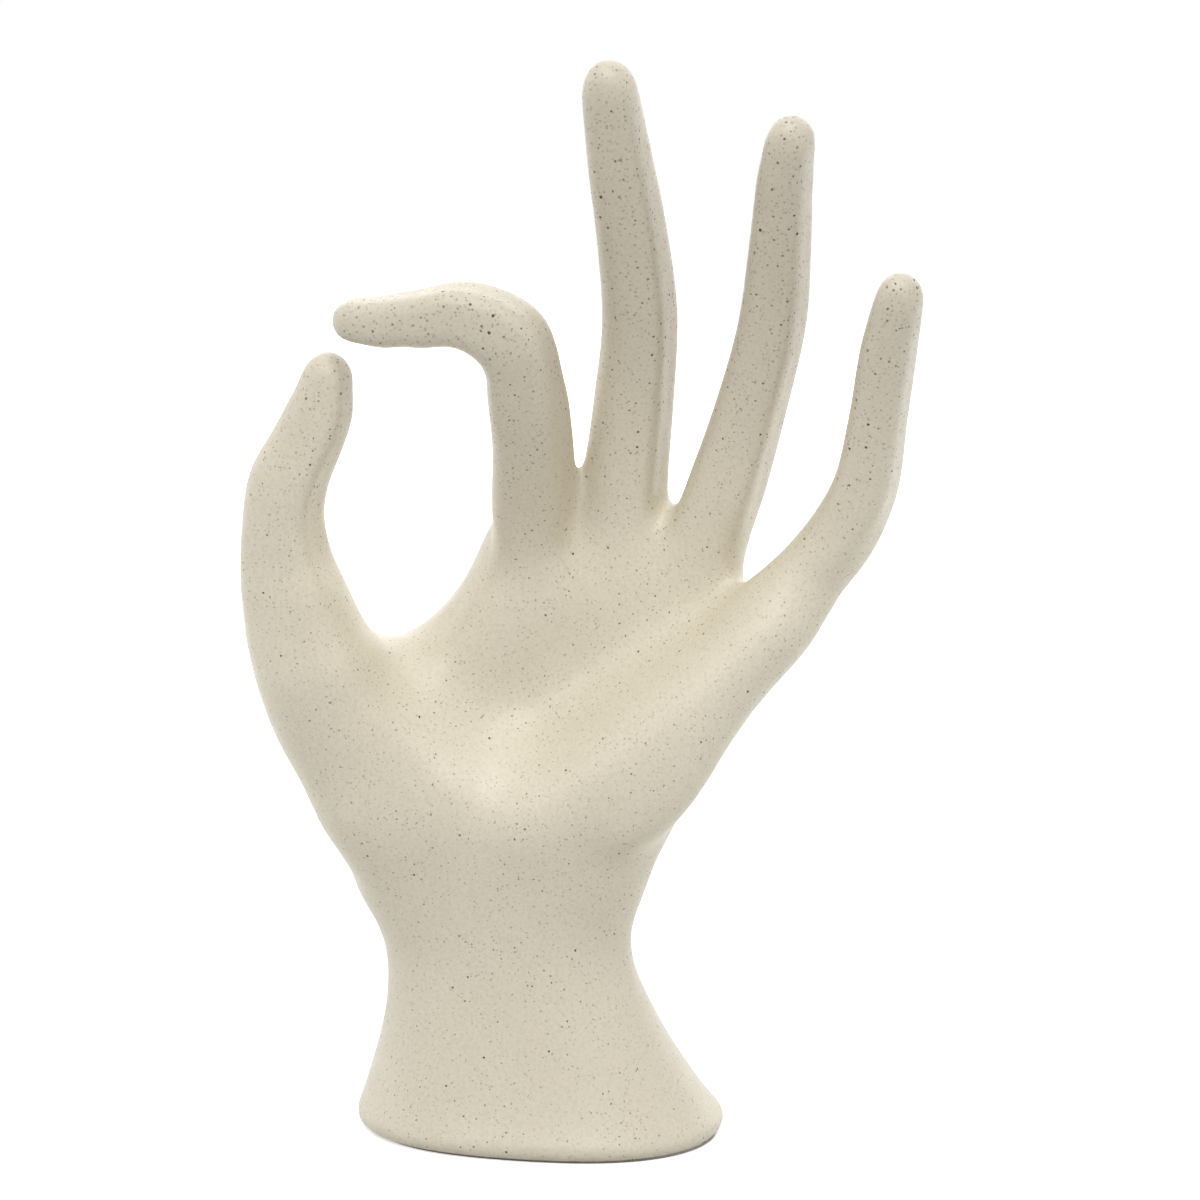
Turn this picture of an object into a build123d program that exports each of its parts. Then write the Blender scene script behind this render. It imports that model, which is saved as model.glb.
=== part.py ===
from build123d import *

import os
from dataclasses import dataclass, replace
from math import ceil, cos, pi, radians, sin, sqrt

import numpy as np

# A standing ceramic hand with thumb and forefinger bent towards each other.
# The wrist and palm are one hollow drain casting, the five digits are solid castings luted onto
# flat seats on it, a clay slab closes the foot and a felt sheet under it keeps it off the table.
# Millimetres and degrees. +Z is up, -Y is the palm side, +X is the little finger's side, and the
# origin is the middle of the felt's underside.


@dataclass
class Slice:
    """A section of the wrist and palm."""

    across: float  # its middle, towards +X
    back: float  # its middle, towards the back of the hand
    height: float  # its middle, above the underside of the foot
    lean: float  # how far its plane turns down towards +X
    width: float
    depth: float
    hollow: float  # how far the palm side is drawn in between its two edges
    corners: float  # 1 for an ellipse, and more for a squarer section


# Forms of a section: 1 is an ellipse, and more is squarer
FULL_CORNERS = 1.0
DIGIT_CORNERS = 1.16


@dataclass
class Bone:
    """One straight stretch of a limb's centre line, and the section where it ends."""

    length: float
    lean: float  # from upright towards +X
    tilt: float  # from upright towards the back of the hand
    width: float  # of the section, across the limb as seen from the palm side
    depth: float  # of the section, from the palm side to the back
    corners: float = DIGIT_CORNERS
    twist: float = 0.0  # how far the section's +X edge is turned towards the back of the hand


@dataclass
class Digit:
    """A finger or the thumb, from its root inside the palm to its tip."""

    carrier: Slice  # the slice of the palm from whose middle the root is measured
    across: float
    back: float
    rise: float
    root_width: float
    root_depth: float
    bones: list
    seat: int  # the bone at whose end the digit is luted on
    tip: float  # length of the rounded end past the last bone


# Driving dimensions: the foot
FELT_THICKNESS = 1.2
FELT_INSET = 3.5
FOOT_EDGE_RADIUS = 2.0
FOOT_RIM = 9.0

# Driving dimensions: the hollow casting
WALL = 5.0
PALM_CROWN = 7.2
CAVITY_CROWN = 18.0

# Driving dimensions: the slab that closes the foot
SLAB_THICKNESS = 5.0
SLAB_LEDGE = 2.0
SLAB_CLEARANCE = 0.3
VENT_DIAMETER = 9.0

# From the foot up through the wrist to the knuckles
WRIST = Slice(-10.5, 0, 58, 0, 69, 40, 0, 1.05)
HEEL = Slice(-10, -1, 74, 6, 78, 43, 1, 1.05)
UPPER_PALM = Slice(10.8, 9.5, 110, 21, 77, 36, 7, 1.14)
PALM = [
    Slice(0, 0, 0, 0, 91, 67, 0, 1.05),
    Slice(-2.5, 0, 10.5, 0, 79, 55, 0, 1.05),
    Slice(-5.5, 0, 27, 0, 65, 43, 0, 1.05),
    Slice(-8.5, 0.5, 41, 0, 59.5, 38, 0, 1.05),
    WRIST,
    HEEL,
    Slice(1, 5, 98, 24, 77, 43, 10, 1.1),
    UPPER_PALM,
    Slice(17.3, 12.5, 123, 17, 76, 27, 3.5, 1.14),
    Slice(15.6, 14.2, 133.2, 16, 65, 22, 1.2, 1.12),
]

THUMB = Digit(
    WRIST, -7.2, 0, -6, 20, 22,
    [
        Bone(24, -38, -17, 29, 28, FULL_CORNERS, 14),
        Bone(26, -27.5, -13.5, 28.5, 26, FULL_CORNERS, 14),
        Bone(24.5, -17.5, -13, 24.8, 23.8, 1.08, 6),
        Bone(21.5, -11, -13.5, 19.4, 20),
        Bone(11, 1.5, -13, 16.8, 18.5),
        Bone(10, 12, -9, 16.4, 18),
        Bone(9.5, 28, -5, 15.2, 16),
        Bone(10, 24, -3, 13.6, 14),
        Bone(4.6, 13, -2, 11.5, 12.5),
    ],
    seat=4,
    tip=7.9,
)
INDEX = Digit(
    UPPER_PALM, -9, 4, 3.2, 19, 17,
    [
        Bone(19.5, -14.5, -9, 19, 20),
        Bone(19, 2, -28.5, 17.6, 20),
        Bone(18.5, 10.5, -38, 16.4, 19),
        Bone(17.5, 5.5, -39, 16.2, 18),
        Bone(16.5, -8.5, -31, 16, 17),
        Bone(10.5, -64, -14, 14.2, 16),
        Bone(11, -96, -2.5, 12.4, 14.5),
        Bone(10.5, -94, 0, 10.5, 12.4),
        Bone(3.6, -86.5, 0, 9.7, 11.6),
    ],
    seat=2,
    tip=5.4,
)
MIDDLE = Digit(
    UPPER_PALM, 2.9, 5, 3.3, 19, 18,
    [
        Bone(19, 5, 1.5, 19.2, 20),
        Bone(20, 4.5, -7.5, 18.2, 19.5),
        Bone(21, 9, -15, 17.2, 18),
        Bone(21, 8.5, -19.5, 16, 17),
        Bone(21, 0, -22.5, 15, 15.5),
        Bone(20.5, -3, -24.5, 13.6, 14),
        Bone(15, -2.5, -24.5, 12, 12.5),
    ],
    seat=2,
    tip=9,
)
RING = Digit(
    UPPER_PALM, 15.9, 3, 4.5, 19, 17,
    [
        Bone(22, 23, 0, 18.4, 19),
        Bone(18, 19.5, -8, 17, 18.5),
        Bone(20, 19, -14, 15.4, 17),
        Bone(24.5, 17, -19, 14.4, 15.5),
        Bone(21, 9.5, -22.5, 13, 14),
        Bone(19.5, 9, -24.5, 11.3, 12.4),
        Bone(5, 13, -24.5, 10.7, 11.8),
    ],
    seat=2,
    tip=7.5,
)
LITTLE = Digit(
    HEEL, 8, -7, -1.2, 24, 22,
    [
        Bone(31.5, 55, 2, 40, 22, FULL_CORNERS, -30),
        Bone(27, 42, 6.5, 26, 19, FULL_CORNERS, -35),
        Bone(20, 44, 8.5, 20, 17, FULL_CORNERS, -35),
        Bone(11.5, 41, 3.5, 17, 16.5, FULL_CORNERS, -30),
        Bone(12, 37.5, -6, 15.6, 16, 1.08, -15),
        Bone(13, 26.5, -13.5, 14.2, 15.5),
        Bone(18.5, 13.5, -20, 12.6, 13.5),
        Bone(20.5, 11.5, -21.5, 12, 12.5),
        Bone(10.5, 14.5, -23, 10.6, 11),
    ],
    seat=4,
    tip=7.5,
)
DIGITS = {
    "thumb": THUMB,
    "index_finger": INDEX,
    "middle_finger": MIDDLE,
    "ring_finger": RING,
    "little_finger": LITTLE,
}

# How far apart the sections of a limb stand at most
SECTION_STEP = 7.0

# How a rounded end closes: shares of its length at which a section stands, on a quarter ellipse
END_STEPS = (0.45, 0.75, 0.93)


@dataclass
class Station:
    """A place on a limb: the plane of its section, and the section's form."""

    plane: Plane
    width: float
    depth: float
    hollow: float
    corners: float
    twist: float


def heading(bone):
    """The way a bone points."""
    forward = cos(radians(bone.tilt))
    return Vector(sin(radians(bone.lean)) * forward, sin(radians(bone.tilt)), cos(radians(bone.lean)) * forward)


def section_plane(point, direction, twist=0.0):
    """A plane across a limb, whose Y runs towards the back of the hand, but for the twist."""
    sideways = Vector(0, 1, 0).cross(direction).normalized()
    backwards = direction.cross(sideways)
    turned = sideways * cos(radians(twist)) + backwards * sin(radians(twist))
    return Plane(point, x_dir=turned, z_dir=direction)


def stations(start, start_width, start_depth, bones):
    """The stations of a limb: at its start, and where each bone ends, square to the bend there."""
    directions = [heading(bone) for bone in bones]
    first = section_plane(start, directions[0], bones[0].twist)
    found = [Station(first, start_width, start_depth, 0.0, bones[0].corners, bones[0].twist)]
    point = start
    for index, bone in enumerate(bones):
        point = point + directions[index] * bone.length
        onward = directions[min(index + 1, len(bones) - 1)]
        across = (directions[index] + onward).normalized()
        plane = section_plane(point, across, bone.twist)
        found.append(Station(plane, bone.width, bone.depth, 0.0, bone.corners, bone.twist))
    return found


def shrunk(place, inset):
    """A station with its outline drawn in all round."""
    return replace(place, width=place.width - 2 * inset, depth=place.depth - 2 * inset)


def outline(place):
    """A soft-cornered closed outline through eight points on the section's axes and diagonals."""
    points = []
    for step in range(8):
        angle = step * pi / 4
        reach = place.corners / 2 if step % 2 else 0.5
        points.append((place.width * reach * cos(angle), place.depth * reach * sin(angle)))
    points[6] = (0, place.hollow - place.depth / 2)
    return place.plane * make_face(Spline(points, periodic=True))


def filled(places):
    """Stations at most SECTION_STEP apart, on cubics that pass through the given ones."""
    rows = np.array([
        [
            *place.plane.origin, *place.plane.z_dir,
            place.width, place.depth, place.hollow, place.corners, place.twist,
        ]
        for place in places
    ])
    spans = np.linalg.norm(np.diff(rows[:, :3], axis=0), axis=1)
    along = np.concatenate([[0.0], np.cumsum(spans)])
    slopes = np.gradient(rows, along, axis=0)
    found = [places[0]]
    for index, span in enumerate(spans):
        count = ceil(span / SECTION_STEP)
        for share in np.arange(1, count + 1) / count:
            rest = 1 - share
            row = (
                rest**2 * (1 + 2 * share) * rows[index]
                + share**2 * (1 + 2 * rest) * rows[index + 1]
                + rest**2 * share * span * slopes[index]
                - share**2 * rest * span * slopes[index + 1]
            ).tolist()
            plane = section_plane(Vector(*row[:3]), Vector(*row[3:6]).normalized(), row[-1])
            found.append(Station(plane, *row[6:]))
    return found


def limb(places, end_length):
    """A solid through the sections of a limb, with a rounded end past the last."""
    last = places[-1]
    sections = [outline(place) for place in filled(places)]
    for step in END_STEPS:
        shrink = sqrt(1 - step**2)
        end = replace(
            last,
            plane=last.plane.offset(step * end_length),
            width=last.width * shrink,
            depth=last.depth * shrink,
            hollow=last.hollow * shrink,
        )
        sections.append(outline(end))
    sections.append(Vertex(*last.plane.offset(end_length).origin))
    return loft(sections)


def middle(cut):
    """The middle of a slice, on the table's height."""
    return Vector(cut.across, cut.back, FELT_THICKNESS + cut.height)


def palm_stations():
    """The stations of the wrist and palm, from the foot's flat underside."""
    found = []
    for cut in PALM:
        normal = Vector(sin(radians(cut.lean)), 0, cos(radians(cut.lean)))
        plane = section_plane(middle(cut), normal)
        found.append(Station(plane, cut.width, cut.depth, cut.hollow, cut.corners, 0.0))
    return found


def digit_stations(digit):
    """The stations of a digit, whose root is measured from a slice of the palm."""
    root = middle(digit.carrier) + Vector(digit.across, digit.back, digit.rise)
    return stations(root, digit.root_width, digit.root_depth, digit.bones)


def part_at_seat(digit, places):
    """A digit's limb, cut square at its seat: the stub on the palm and the free digit."""
    whole = limb(places, digit.tip)
    seat = places[digit.seat].plane
    return whole.split(seat, keep=Keep.BOTTOM), whole.split(seat, keep=Keep.TOP)


def hollow(palm):
    """The space inside the casting, open at the foot, with a rebate that takes the slab."""
    inner = [shrunk(place, WALL) for place in palm[: PALM.index(HEEL) + 1]]
    mouth = shrunk(palm[0], FOOT_RIM + SLAB_LEDGE)
    inner[0] = replace(mouth, plane=mouth.plane.offset(SLAB_THICKNESS / 2))
    rebate = extrude(outline(shrunk(palm[0], FOOT_RIM)), SLAB_THICKNESS, both=True)
    return limb(inner, CAVITY_CROWN) + rebate


def hand_body(palm, stubs):
    """The hollow wrist and palm, with the seats that the digits stand on."""
    casting = limb(palm, PALM_CROWN)
    underside = casting.faces().sort_by(Axis.Z)[0]
    casting = fillet(underside.edges(), FOOT_EDGE_RADIUS)
    return casting.fuse(*stubs) - hollow(palm)


def base_slab(palm):
    """The slab luted up against the ledge in the foot, with the hole that vents the firing."""
    slab = extrude(outline(shrunk(palm[0], FOOT_RIM + SLAB_CLEARANCE)), SLAB_THICKNESS)
    return slab - Cylinder(VENT_DIAMETER / 2, 4 * SLAB_THICKNESS)


def felt_sheet(palm):
    """The felt sheet glued under the foot and the slab."""
    return extrude(outline(shrunk(palm[0], FELT_INSET)), -FELT_THICKNESS)


def main():
    palm = palm_stations()
    nodes, stubs = {}, []
    for name, digit in DIGITS.items():
        stub, nodes[name] = part_at_seat(digit, digit_stations(digit))
        stubs.append(stub)
    nodes["hand_body"] = hand_body(palm, stubs)
    nodes["base_slab"] = base_slab(palm)
    nodes["felt_sheet"] = felt_sheet(palm)
    os.makedirs("parts", exist_ok=True)
    for name, shape in nodes.items():
        export_step(shape, f"parts/{name}.step")


main()
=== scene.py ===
import bpy
import numpy as np
import openvdb
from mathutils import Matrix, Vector


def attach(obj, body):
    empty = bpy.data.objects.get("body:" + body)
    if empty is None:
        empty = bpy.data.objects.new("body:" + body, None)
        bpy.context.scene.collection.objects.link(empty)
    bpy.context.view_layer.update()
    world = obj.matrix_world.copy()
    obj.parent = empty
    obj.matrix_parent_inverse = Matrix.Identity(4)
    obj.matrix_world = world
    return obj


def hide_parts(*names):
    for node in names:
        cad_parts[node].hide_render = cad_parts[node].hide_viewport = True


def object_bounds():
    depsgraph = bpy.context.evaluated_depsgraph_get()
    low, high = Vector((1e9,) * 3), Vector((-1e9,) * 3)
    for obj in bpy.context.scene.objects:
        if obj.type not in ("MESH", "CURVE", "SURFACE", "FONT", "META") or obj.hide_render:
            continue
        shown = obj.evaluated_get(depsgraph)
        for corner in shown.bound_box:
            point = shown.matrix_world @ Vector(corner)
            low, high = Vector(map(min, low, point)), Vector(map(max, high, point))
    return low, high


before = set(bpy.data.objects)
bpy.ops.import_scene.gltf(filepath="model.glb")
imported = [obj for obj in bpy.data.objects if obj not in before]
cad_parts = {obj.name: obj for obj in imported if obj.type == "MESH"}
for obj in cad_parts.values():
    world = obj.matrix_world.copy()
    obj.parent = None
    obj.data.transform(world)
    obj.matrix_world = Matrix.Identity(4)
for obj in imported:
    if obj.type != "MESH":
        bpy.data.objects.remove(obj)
cad_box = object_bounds()


# The six glazed castings: a hollow wrist and palm, and five solid digits luted onto flat seats on it.
# Slip is sponged over each seat and into the corners between the limbs before the firing, and one
# satin glaze runs over the whole hand, so no seat shows and each corner is a soft web.
DIGITS = ("thumb", "index_finger", "middle_finger", "ring_finger", "little_finger")
VOXEL = 0.0009  # step of the grid that the skin is worked out on
BAND = 16  # steps from a surface within which its distance is kept
MARGIN = 14  # steps of the grid past the hand
PALM_BLEND = 0.010  # slip in the corners of the palm
PALM_SMOOTHING = 0.003
WEB_BLEND = 0.0008  # slip in the corners beside the digits
GLAZE_BLEND = 0.0014  # how far the glaze rounds every edge
SEAT_FADE = 0.012  # distance from a digit over which the palm's slip thins out
SLIP_FILL = 0.0006  # half the width of the cracks that slip closes at the seats
WEB_REACH = 0.0009  # how far past its own casting a digit's skin reaches
CAVITY_TOP = 0.096
CAVITY_CROWN = 0.080
CAVITY_DEPTH = 0.004
FOOT_EDGE = (0.004, 0.014)  # heights between which the softening comes in
LIP = 0.0009  # how far the foot's glazed lip comes down round the felt
PALM_SIDE = 0.010  # how far back the strokes on the palm reach
THROUGH = 0.1  # for strokes on the edges, past the back of the hand
STROKE_FADE = 0.012

GRID_LOW = np.floor(np.array(cad_box[0]) / VOXEL).astype(int) - MARGIN
GRID_SIZE = np.ceil(np.array(cad_box[1]) / VOXEL).astype(int) + MARGIN - GRID_LOW
GRID_SIZE += GRID_SIZE % 2
GRID_STEPS = [(np.arange(size) + low) * VOXEL for size, low in zip(GRID_SIZE, GRID_LOW)]
GRID_PLACE = openvdb.createLinearTransform(voxelSize=VOXEL)


def node_surface(name):
    """A node's points and triangles, with the corners that its loose triangles share merged."""
    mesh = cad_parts[name].data
    corners = np.empty(len(mesh.vertices) * 3, np.float32)
    mesh.vertices.foreach_get("co", corners)
    triangles = np.empty(len(mesh.polygons) * 3, np.int32)
    mesh.polygons.foreach_get("vertices", triangles)
    keys = np.round(corners.reshape(-1, 3) * 1e6).astype(np.int64)
    points, place = np.unique(keys, axis=0, return_inverse=True)
    triangles = place.reshape(-1)[triangles].reshape(-1, 3)
    return (points * 1e-6).astype(np.float32), triangles.astype(np.uint32)


def distance_from(points, **faces):
    """Signed distance from a closed surface at each place of the shared grid, negative inside it."""
    level_set = openvdb.FloatGrid.createLevelSetFromPolygons(
        points, transform=GRID_PLACE, halfWidth=BAND, **faces
    )
    field = np.empty(GRID_SIZE, np.float32)
    level_set.copyToArray(field, ijk=tuple(int(low) for low in GRID_LOW))
    return field


def surface_of(field, height=0.0):
    """The points and quads where a field on the shared grid has that height."""
    grid = openvdb.FloatGrid(BAND * VOXEL)
    grid.transform = GRID_PLACE
    grid.copyFromArray(field, ijk=tuple(int(low) for low in GRID_LOW))
    return grid.convertToQuads(isovalue=height)


def softened(field, radius):
    """A field averaged under a bell of that radius: its spectrum times exp(-2 (pi f radius)^2)."""
    spectrum = np.fft.rfftn(field)
    for axis, size in enumerate(field.shape):
        cycles = np.fft.rfftfreq(size) if axis == 2 else np.fft.fftfreq(size)
        shape = [-1 if index == axis else 1 for index in range(3)]
        spectrum *= np.exp(-2 * (np.pi * cycles * radius / VOXEL) ** 2).reshape(shape)
    return np.fft.irfftn(spectrum, field.shape).astype(np.float32)


def sampled(field, points):
    """A field's values at points, linear between the eight places of the grid round each."""
    where = points / VOXEL - GRID_LOW
    corner = np.clip(np.floor(where).astype(int), 0, np.array(field.shape) - 2)
    share = where - corner
    total = np.zeros(len(points))
    for step in np.ndindex(2, 2, 2):
        weight = np.prod(np.where(step, share, 1 - share), axis=1)
        total += weight * field[tuple((corner + step).T)]
    return total


def eased(value):
    """A value held between 0 and 1, with a smooth start and end: 3 t^2 - 2 t^3."""
    value = np.clip(value, 0, 1)
    return value**2 * (3 - 2 * value)


def between_walls(clay, axis):
    """True from the first to the last place of clay in each row along an axis."""
    after_first = np.maximum.accumulate(clay, axis=axis)
    before_last = np.flip(np.maximum.accumulate(np.flip(clay, axis), axis=axis), axis)
    return after_first & before_last


# The casting without the space inside it, which has walls before, behind and on both sides
body_points, body_faces = node_surface("hand_body")
body_cast = distance_from(body_points, triangles=body_faces)
clay = body_cast < 0
heights = GRID_STEPS[2]
within = between_walls(clay, 0) & between_walls(clay, 1) & (heights < CAVITY_TOP)
filled_points, filled_quads = surface_of(np.where(within & ~clay, -VOXEL, body_cast))
body_form = distance_from(filled_points, quads=filled_quads)

# The foot's edge stays crisp, so nothing is softened below it
above_foot = eased((heights - FOOT_EDGE[0]) / (FOOT_EDGE[1] - FOOT_EDGE[0])).astype(np.float32)

# Slip fills the corners where the limbs of the body meet, less and less towards the digits' seats
palm_fill = body_form - np.minimum(body_form, softened(body_form, PALM_BLEND))
apart_all = np.ones(GRID_SIZE, np.float32)
digit_casts = {}
for name in DIGITS:
    points, triangles = node_surface(name)
    digit_casts[name] = distance_from(points, triangles=triangles)
    apart_all *= eased(digit_casts[name] / SEAT_FADE)
hand_form = body_form - apart_all * palm_fill
hand_form += apart_all * above_foot * (softened(hand_form, PALM_SMOOTHING) - hand_form)


def stroke(start, end, width, raised, back=PALM_SIDE, below=None):
    """Clay raised (or pressed in, below zero) along a line in X and Z, at each place of the shared grid:
    raised * exp(-(distance from the line / width)^2), from the palm side to as far back as given.
    Below a line drawn towards +X the width may be another, and it turns from one to the other round
    the ends."""
    across = GRID_STEPS[0][:, None] - start[0]
    up = GRID_STEPS[2][None, :] - start[1]
    run, climb = end[0] - start[0], end[1] - start[1]
    along = np.clip((across * run + up * climb) / (run**2 + climb**2), 0, 1)
    distance = np.hypot(across - along * run, up - along * climb)
    over = (up * run - across * climb) / (np.hypot(run, climb) * np.maximum(distance, 1e-9))
    reach = width if below is None else below + (width - below) * (1 + over) / 2
    front = eased((back - GRID_STEPS[1]) / STROKE_FADE)
    bell = raised * np.exp(-((distance / reach) ** 2))
    return (bell[:, None, :] * front[None, :, None]).astype(np.float32)


# The modeller's strokes: a ridge and a trough along each of the two balls of the palm
hand_form -= stroke((0.004, 0.082), (0.056, 0.122), 0.010, 0.0037, below=0.012)
hand_form -= stroke((0.002, 0.102), (0.034, 0.124), 0.012, -0.0030)
hand_form -= stroke((-0.044, 0.111), (-0.018, 0.087), 0.008, 0.0031, below=0.014)
hand_form -= stroke((-0.025, 0.116), (-0.010, 0.102), 0.009, -0.0022)
# The slip that brings the palm up to the forefinger's root
hand_form -= stroke((-0.012, 0.128), (0.004, 0.128), 0.010, 0.0018)
# The edges of the hand: the ball of the thumb, both sides of the wrist, the thumb's web on its two
# sides, and the lower end of the ball of the thumb
hand_form -= stroke((-0.060, 0.116), (-0.044, 0.082), 0.014, 0.0016, THROUGH)
hand_form -= stroke((-0.043, 0.072), (-0.041, 0.060), 0.010, 0.0018, THROUGH)
hand_form -= stroke((0.027, 0.071), (0.022, 0.062), 0.010, 0.0016, THROUGH)
hand_form -= stroke((-0.046, 0.128), (-0.038, 0.116), 0.007, 0.0020, THROUGH)
hand_form -= stroke((-0.034, 0.122), (-0.026, 0.130), 0.007, -0.0014, THROUGH)
hand_form -= stroke((-0.057, 0.080), (-0.050, 0.066), 0.009, -0.0014, THROUGH)

# The digits set on their seats, with the hair crack at each seat filled, and small webs in the corners
for name in DIGITS:
    hand_form = np.minimum(hand_form, digit_casts[name])
joined_points, joined_quads = surface_of(hand_form, SLIP_FILL)
hand_form = distance_from(joined_points, quads=joined_quads) + SLIP_FILL
hand_form = np.minimum(hand_form, softened(hand_form, WEB_BLEND))
hand_form += above_foot * (softened(hand_form, GLAZE_BLEND) - hand_form)

# The foot's glazed lip comes down round the felt and leaves the felt free
lowered = np.arange(GRID_SIZE[2]) + np.clip(1 - heights / FOOT_EDGE[1], 0, 1) * LIP / VOXEL
row = np.clip(lowered.astype(int), 0, GRID_SIZE[2] - 2)
share = np.clip(lowered - row, 0, 1).astype(np.float32)
hand_form = hand_form[:, :, row] * (1 - share) + hand_form[:, :, row + 1] * share
felt_points, felt_triangles = node_surface("felt_sheet")
hand_form = np.maximum(hand_form, -distance_from(felt_points, triangles=felt_triangles))

# The space inside the casting is taken out again, smoothed at its crown
crown = (heights > CAVITY_CROWN) & (body_form < -CAVITY_DEPTH)
space = np.where(crown, softened(body_cast, VOXEL), body_cast)
hand_points, hand_quads = surface_of(np.maximum(hand_form, np.where(within, space, -VOXEL)))
hand_points = hand_points.astype(float)
hand_triangles = np.concatenate([hand_quads[:, [0, 1, 2]], hand_quads[:, [0, 2, 3]]]).astype(int)


def seat_of(name):
    """A digit's flat seat, the plane that holds most of its surface: its outward normal and offset."""
    points, triangles = node_surface(name)
    corners = points[triangles].astype(float)
    normals = np.cross(corners[:, 1] - corners[:, 0], corners[:, 2] - corners[:, 0])
    areas = np.linalg.norm(normals, axis=1)
    facing = np.round(normals / np.maximum(areas, 1e-12)[:, None], 3)
    _, place = np.unique(facing, axis=0, return_inverse=True)
    largest = np.argmax(np.bincount(place.reshape(-1), weights=areas))
    chosen = place.reshape(-1) == largest
    normal = normals[chosen].sum(0)
    normal /= np.linalg.norm(normal)
    return normal, (corners[chosen].reshape(-1, 3) @ normal).mean()


NUDGE = 0.1 * VOXEL  # a cut runs no nearer to a point than this


def divided(points, triangles, level):
    """Cuts triangles where level, given at the points, is zero, with the cut's points shared by both
    sides: the points, the triangles where level is negative, and the others."""
    level = np.where(np.abs(level) < NUDGE, np.where(level < 0, -NUDGE, NUDGE), level)
    inside = level[triangles] < 0
    count = inside.sum(1)
    crossed = (count == 1) | (count == 2)
    lone = np.where(count == 1, inside.argmax(1), inside.argmin(1))[crossed]
    rows = np.arange(crossed.sum())
    first, second, third = (triangles[crossed][rows, (lone + turn) % 3] for turn in range(3))
    edges = np.sort(np.concatenate([np.stack([first, second], 1), np.stack([first, third], 1)]), axis=1)
    edges, place = np.unique(edges, axis=0, return_inverse=True)
    ends = level[edges]
    share = (ends[:, 0] / (ends[:, 0] - ends[:, 1]))[:, None]
    new_points = points[edges[:, 0]] * (1 - share) + points[edges[:, 1]] * share
    near, far = np.split(place.reshape(-1) + len(points), 2)
    tips = np.stack([first, near, far], 1)
    rests = np.concatenate([np.stack([near, second, third], 1), np.stack([near, third, far], 1)])
    tip_inside = level[first] < 0
    rest_inside = np.concatenate([~tip_inside, ~tip_inside])
    negative = np.concatenate([triangles[count == 3], tips[tip_inside], rests[rest_inside]])
    positive = np.concatenate([triangles[count == 0], tips[~tip_inside], rests[~rest_inside]])
    return np.concatenate([points, new_points]), negative, positive


def cap_over(points, triangles):
    """A fan that closes the one open edge of a surface, from the middle of that edge."""
    edges = np.concatenate([triangles[:, [0, 1]], triangles[:, [1, 2]], triangles[:, [2, 0]]])
    size = len(points)
    forward = edges[:, 0] * size + edges[:, 1]
    rim = edges[~np.isin(forward, edges[:, 1] * size + edges[:, 0])]
    middle = points[np.unique(rim)].mean(0)
    fan = np.stack([rim[:, 1], rim[:, 0], np.full(len(rim), size)], 1)
    return np.concatenate([points, middle[None]]), fan


slope = np.gradient(hand_form)


def glazed_piece(name, points, triangles, cap):
    """A closed piece of the hand's skin, shaded by the slope of the whole hand's form."""
    used, place = np.unique(np.concatenate([triangles, cap]), return_inverse=True)
    mesh = bpy.data.meshes.new(name)
    mesh.from_pydata(points[used].tolist(), [], place.reshape(-1, 3).tolist())
    mesh.shade_smooth()
    facing = np.stack([sampled(part, points[used]) for part in slope], 1)
    facing /= np.maximum(np.linalg.norm(facing, axis=1), 1e-9)[:, None]
    mesh.normals_split_custom_set_from_vertices(facing.tolist())
    piece = bpy.data.objects.new(name, mesh)
    bpy.context.scene.collection.objects.link(piece)
    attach(piece, "root")
    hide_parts(name.removeprefix("glazed_"))
    return piece


body_triangles = hand_triangles
body_caps = []
glazed_pieces = []
for name in DIGITS:
    normal, offset = seat_of(name)
    level = np.maximum(
        hand_points @ normal - offset,
        sampled(digit_casts[name], hand_points) - WEB_REACH,
    )
    hand_points, digit_triangles, body_triangles = divided(hand_points, body_triangles, level)
    hand_points, cap = cap_over(hand_points, digit_triangles)
    body_caps.append(cap[:, ::-1])
    glazed_pieces.append(glazed_piece(f"glazed_{name}", hand_points, digit_triangles, cap))
glazed_pieces.append(
    glazed_piece("glazed_hand_body", hand_points, body_triangles, np.concatenate(body_caps))
)


def new_material(name):
    """A material with nodes: its tree, its main shader and its Object coordinates."""
    material = bpy.data.materials.new(name)
    material.use_nodes = True
    tree = material.node_tree
    place = tree.nodes.new("ShaderNodeTexCoord").outputs["Object"]
    return material, tree, tree.nodes["Principled BSDF"], place


def noise(tree, place, scale, detail=2.0):
    """A cloudy pattern, with so many clouds to the metre."""
    node = tree.nodes.new("ShaderNodeTexNoise")
    node.inputs["Scale"].default_value = scale
    node.inputs["Detail"].default_value = detail
    tree.links.new(place, node.inputs["Vector"])
    return node.outputs["Fac"]


def ranged(tree, value, low, high, to_low=0.0, to_high=1.0):
    """A value taken smoothly from one range to another, and held at its ends."""
    node = tree.nodes.new("ShaderNodeMapRange")
    node.interpolation_type = "SMOOTHSTEP"
    for name, amount in (("From Min", low), ("From Max", high), ("To Min", to_low), ("To Max", to_high)):
        node.inputs[name].default_value = amount
    tree.links.new(value, node.inputs["Value"])
    return node.outputs["Result"]


def relief(tree, shader, height, strength, depth):
    """A fine grain in the way a surface takes the light, so deep from its lows to its highs."""
    bump = tree.nodes.new("ShaderNodeBump")
    bump.inputs["Strength"].default_value = strength
    bump.inputs["Distance"].default_value = depth
    tree.links.new(height, bump.inputs["Height"])
    tree.links.new(bump.outputs["Normal"], shader.inputs["Normal"])


def worked(tree, operation, first, second):
    """Two values put together, where the second may be a plain number."""
    node = tree.nodes.new("ShaderNodeMath")
    node.operation = operation
    tree.links.new(first, node.inputs[0])
    if isinstance(second, (int, float)):
        node.inputs[1].default_value = second
    else:
        tree.links.new(second, node.inputs[1])
    return node.outputs["Value"]


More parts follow.
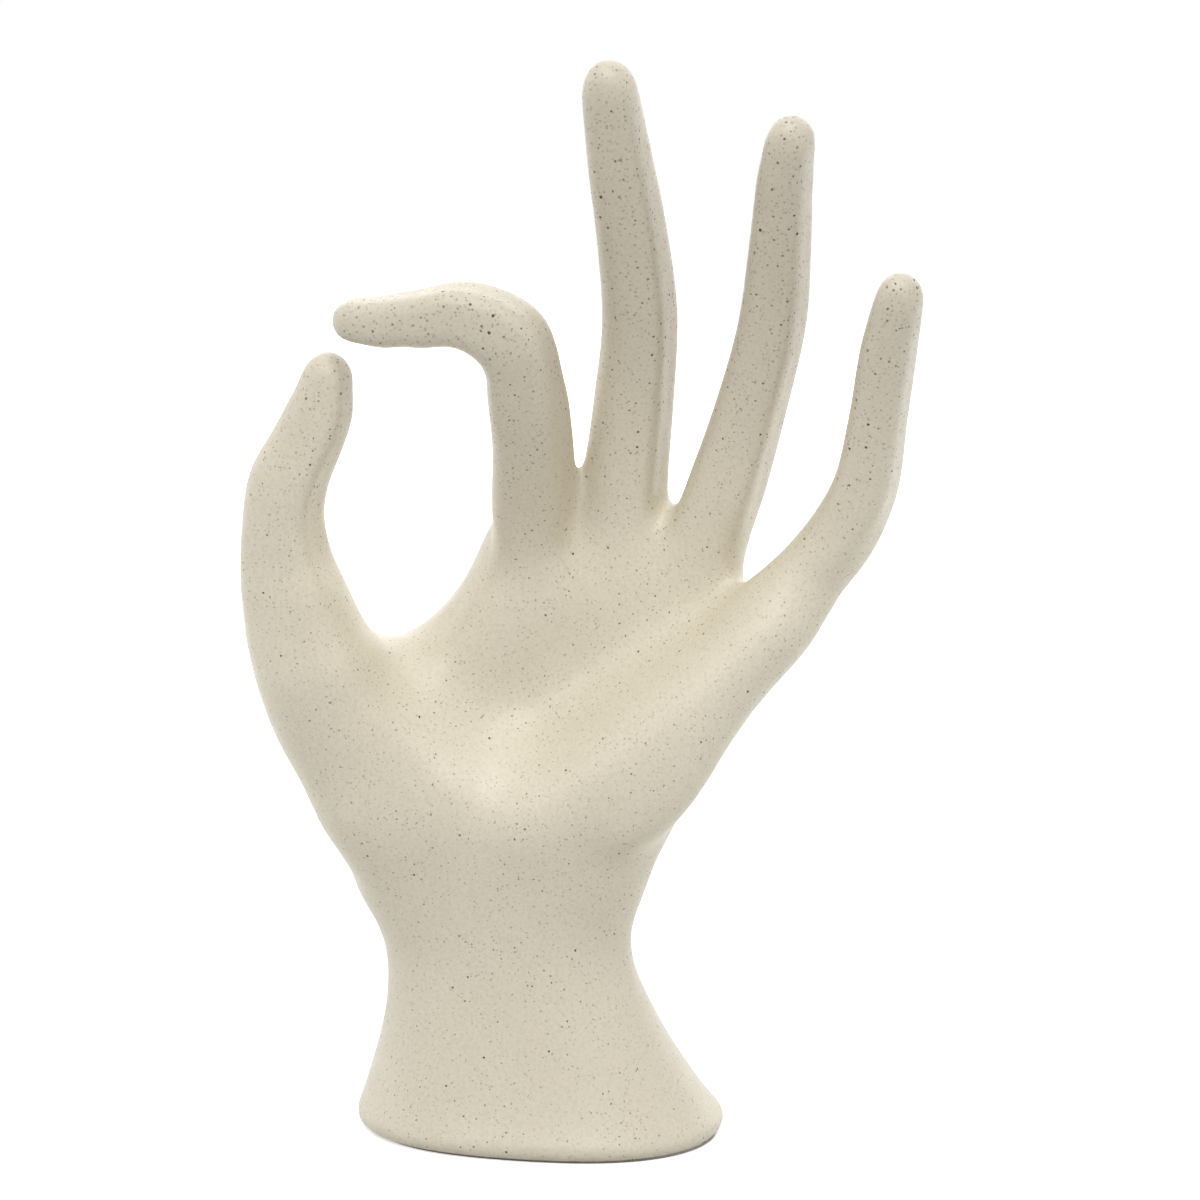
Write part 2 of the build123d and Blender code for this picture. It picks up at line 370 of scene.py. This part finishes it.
def tinted(tree, share, under, over):
    """A colour laid over another by share, where under may be a plain colour."""
    node = tree.nodes.new("ShaderNodeMix")
    node.data_type = "RGBA"
    tree.links.new(share, node.inputs["Factor"])
    for socket, colour in ((node.inputs["A"], under), (node.inputs["B"], over)):
        if isinstance(colour, tuple):
            socket.default_value = (*colour, 1)
        else:
            tree.links.new(colour, socket)
    return node.outputs["Result"]


# The glaze: cream, satin, a little cloudy and grainy, with painted shade on the fingers and a darkening
# towards the foot, with iron specks of three sizes that are larger on the fingers
CREAM = (0.715, 0.66, 0.53)
DEEPER_CREAM = (0.685, 0.63, 0.502)
GRAIN = (0.44, 0.385, 0.29)
# The colour laid on the fingers as painted shade, and towards the foot
SHADE = (0.2, 0.18, 0.14)
FAINT_SPECK = (0.24, 0.195, 0.145)
MIDDLING_SPECK = (0.11, 0.088, 0.066)
IRON_SPECK = (0.045, 0.036, 0.03)
RUST_SPECK = (0.2, 0.07, 0.045)
FINGER_HEIGHTS = (0.13, 0.215)  # the painted shade on the fingers comes in between these
FINGER_PAINTED_SHADE = 0.27
FOOT_HEIGHTS = (0.03, 0.075)  # the darkening towards the foot goes out between these
FOOT_SHADE = 0.1
PALM_SPECKS = 0.8  # size of the specks on the palm
FINGER_SPECKS = 0.35  # what the fingers add to that
RAGGED = 0.0004  # how far the specks' edges wander
glaze, tree, shader, place = new_material("speckled_glaze")


def specks(to_the_metre, radius, softness):
    """Specks, so many cells to the metre, of many strengths: their share, and a number for each."""
    node = tree.nodes.new("ShaderNodeTexVoronoi")
    node.inputs["Scale"].default_value = to_the_metre
    tree.links.new(shifted.outputs["Vector"], node.inputs["Vector"])
    parts = tree.nodes.new("ShaderNodeSeparateColor")
    tree.links.new(node.outputs["Color"], parts.inputs["Color"])
    reach = worked(tree, "MULTIPLY", on_fingers, FINGER_SPECKS)
    reach = worked(tree, "ADD", reach, PALM_SPECKS)
    distance = worked(tree, "DIVIDE", node.outputs["Distance"], reach)
    inside = ranged(tree, distance, radius * to_the_metre, radius * to_the_metre * softness, 1, 0)
    return worked(tree, "MULTIPLY", inside, parts.outputs["Red"]), parts.outputs["Green"]


height = tree.nodes.new("ShaderNodeSeparateXYZ")
tree.links.new(place, height.inputs["Vector"])
ragged = tree.nodes.new("ShaderNodeTexNoise")
ragged.inputs["Scale"].default_value = 2400
tree.links.new(place, ragged.inputs["Vector"])
shifted = tree.nodes.new("ShaderNodeVectorMath")
shifted.operation = "MULTIPLY_ADD"
shifted.inputs[1].default_value = (RAGGED, RAGGED, RAGGED)
tree.links.new(ragged.outputs["Color"], shifted.inputs[0])
tree.links.new(place, shifted.inputs[2])
on_fingers = ranged(tree, height.outputs["Z"], *FINGER_HEIGHTS)
on_foot = ranged(tree, height.outputs["Z"], *FOOT_HEIGHTS, FOOT_SHADE, 0)
clouds = ranged(tree, noise(tree, place, 30), 0.3, 0.7)
colour = tinted(tree, clouds, CREAM, DEEPER_CREAM)
grain = ranged(tree, noise(tree, place, 1300, 3), 0.35, 0.75, 0, 0.25)
colour = tinted(tree, grain, colour, GRAIN)
# Painted shade: the fingers are darkened upwards, where less light reaches their fronts
colour = tinted(tree, worked(tree, "MULTIPLY", on_fingers, FINGER_PAINTED_SHADE), colour, SHADE)
# Darker towards the foot
colour = tinted(tree, on_foot, colour, SHADE)
faint, _ = specks(1000, 0.00017, 1.8)
colour = tinted(tree, worked(tree, "MULTIPLY", faint, 0.72), colour, FAINT_SPECK)
middling, _ = specks(600, 0.00022, 1.5)
colour = tinted(tree, middling, colour, MIDDLING_SPECK)
dark, rust = specks(250, 0.0003, 1.3)
iron = tinted(tree, ranged(tree, rust, 0.7, 0.75), IRON_SPECK, RUST_SPECK)
colour = tinted(tree, ranged(tree, dark, 0.32, 0.52), colour, iron)
tree.links.new(colour, shader.inputs["Base Color"])
satin = ranged(tree, noise(tree, place, 260), 0.3, 0.7, 0.38, 0.48)
tree.links.new(satin, shader.inputs["Roughness"])
relief(tree, shader, noise(tree, place, 420, 3), 0.12, 0.0004)
for piece in glazed_pieces:
    piece.data.materials.append(glaze)


# The slab that closes the foot: a rolled sheet of the same clay, cut to the rebate and luted in
# bare, so it is matt and sandy, and its face keeps the grain of the cloth it was rolled on.
BUFF = (0.64, 0.57, 0.455)
DEEPER_BUFF = (0.58, 0.51, 0.4)
SAND = (0.3, 0.25, 0.19)
clay_bare, tree, shader, place = new_material("bare_clay")
colour = tinted(tree, ranged(tree, noise(tree, place, 60, 4), 0.3, 0.7), BUFF, DEEPER_BUFF)
colour = tinted(tree, ranged(tree, noise(tree, place, 1500), 0.6, 0.72), colour, SAND)
tree.links.new(colour, shader.inputs["Base Color"])
shader.inputs["Roughness"].default_value = 0.9
relief(tree, shader, noise(tree, place, 1100, 4), 0.5, 0.0003)
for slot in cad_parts["base_slab"].material_slots:
    slot.material = clay_bare


# The felt under the foot: a thin sheet of pressed wool in a grey-brown, glued on. Its fibres lie every
# way, so it is matt, mottled and softly hairy at its edge.
PALE_WOOL = (0.46, 0.42, 0.36)
DARK_WOOL = (0.36, 0.33, 0.28)
felt, tree, shader, place = new_material("pressed_felt")
colour = tinted(tree, ranged(tree, noise(tree, place, 700, 6), 0.35, 0.65), PALE_WOOL, DARK_WOOL)
tree.links.new(colour, shader.inputs["Base Color"])
shader.inputs["Roughness"].default_value = 1.0
shader.inputs["Sheen Weight"].default_value = 0.4
relief(tree, shader, noise(tree, place, 2200, 5), 0.8, 0.0004)
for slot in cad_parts["felt_sheet"].material_slots:
    slot.material = felt


# The studio's white sweep: a plain pale paper floor that the camera sees as white away from the hand,
# with a weaker glow near it that paints shade round the hand, and the hand's own shadow kept where it
# stands.
FLOOR_REACH = 3
PAPER_TO_LIGHT = (0.65, 0.65, 0.65, 1)
PAPER_TO_CAMERA = (0.9, 0.9, 0.9, 1)
GLOW_SHADE_REACH = (0.1, 0.45)  # distances from the hand over which the painted shade round it gives way to white
GLOW = (0.5, 1.0)
FLOOR_CORNERS = [(x * FLOOR_REACH, y * FLOOR_REACH, 0) for x, y in ((-1, -1), (1, -1), (1, 1), (-1, 1))]
floor_mesh = bpy.data.meshes.new("floor")
floor_mesh.from_pydata(FLOOR_CORNERS, [], [(0, 1, 2, 3)])
floor = bpy.data.objects.new("floor", floor_mesh)
bpy.context.scene.collection.objects.link(floor)
paper, tree, shader, place = new_material("white_paper")
tree.nodes.remove(shader)


def seen_directly(tree):
    """One for rays from the camera, by a reflection or through glass too, and none for other rays."""
    rays = tree.nodes.new("ShaderNodeLightPath").outputs
    mirrored = worked(tree, "MAXIMUM", rays["Is Glossy Ray"], rays["Is Transmission Ray"])
    return worked(tree, "MAXIMUM", rays["Is Camera Ray"], mirrored)


matt = tree.nodes.new("ShaderNodeBsdfDiffuse")
matt.inputs["Color"].default_value = PAPER_TO_LIGHT
seen = tree.nodes.new("ShaderNodeBsdfDiffuse")
seen.inputs["Color"].default_value = PAPER_TO_CAMERA
glow = tree.nodes.new("ShaderNodeEmission")
away = tree.nodes.new("ShaderNodeVectorMath")
away.operation = "LENGTH"
tree.links.new(place, away.inputs[0])
# The glow is weaker near the hand: painted shade round it, over the hand's own shadow
tree.links.new(ranged(tree, away.outputs["Value"], *GLOW_SHADE_REACH, *GLOW), glow.inputs["Strength"])
white = tree.nodes.new("ShaderNodeAddShader")
tree.links.new(seen.outputs["BSDF"], white.inputs[0])
tree.links.new(glow.outputs["Emission"], white.inputs[1])
choice = tree.nodes.new("ShaderNodeMixShader")
tree.links.new(seen_directly(tree), choice.inputs["Fac"])
tree.links.new(matt.outputs["BSDF"], choice.inputs[1])
tree.links.new(white.outputs["Shader"], choice.inputs[2])
tree.links.new(choice.outputs["Shader"], tree.nodes["Material Output"].inputs["Surface"])
floor_mesh.materials.append(paper)

# The room behind it: white to the camera and in the glaze's reflections, while the lamps light the hand
world = bpy.data.worlds.new("studio")
bpy.context.scene.world = world
world.use_nodes = True
tree = world.node_tree
sky = tree.nodes["Background"]
sky.inputs["Color"].default_value = (1, 1, 1, 1)
tree.links.new(seen_directly(tree), sky.inputs["Strength"])

# Soft boxes round the hand, each turned to its middle: name, place, width and height, watts
MIDDLE = Vector((0, 0, 0.13))
for name, spot, size, watts in (
    ("top", (0, 0, 1.2), (1.2, 1.2), 6.1),
    ("front_top", (0.1, -0.75, 1.05), (1.0, 0.8), 9.3),
    ("left_front", (-0.9, -0.8, 0.6), (0.8, 1.0), 2.7),
    ("right_front", (0.95, -0.75, 0.6), (0.8, 1.0), 2.2),
    ("left", (-1.1, 0.1, 0.45), (1.0, 1.2), 4.5),
    ("right", (1.1, 0.1, 0.45), (1.0, 1.2), 3.8),
    ("back", (0, 1.2, 0.7), (2.4, 1.4), 14.5),
):
    lamp = bpy.data.lights.new(name, "AREA")
    lamp.shape = "RECTANGLE"
    lamp.size, lamp.size_y = size
    lamp.energy = watts
    soft_box = bpy.data.objects.new(name, lamp)
    soft_box.location = spot
    soft_box.rotation_euler = (MIDDLE - soft_box.location).to_track_quat("-Z", "Y").to_euler()
    soft_box.visible_camera = False
    bpy.context.scene.collection.objects.link(soft_box)

# The camera stands a little above the hand and to its little finger's side, with a long lens.
CAMERA_PLACE = Vector((0.2298, -0.9218, 0.310))
CAMERA_AIM = Vector((0.01392, 0, 0.12682))
CAMERA_LENS = 125.07
camera_data = bpy.data.cameras.new("camera")
camera_data.lens = CAMERA_LENS
camera = bpy.data.objects.new("camera", camera_data)
bpy.context.scene.collection.objects.link(camera)
camera.location = CAMERA_PLACE
camera.rotation_euler = (CAMERA_AIM - CAMERA_PLACE).to_track_quat("-Z", "Y").to_euler()
bpy.context.scene.camera = camera
bpy.context.scene.view_settings.view_transform = "Standard"
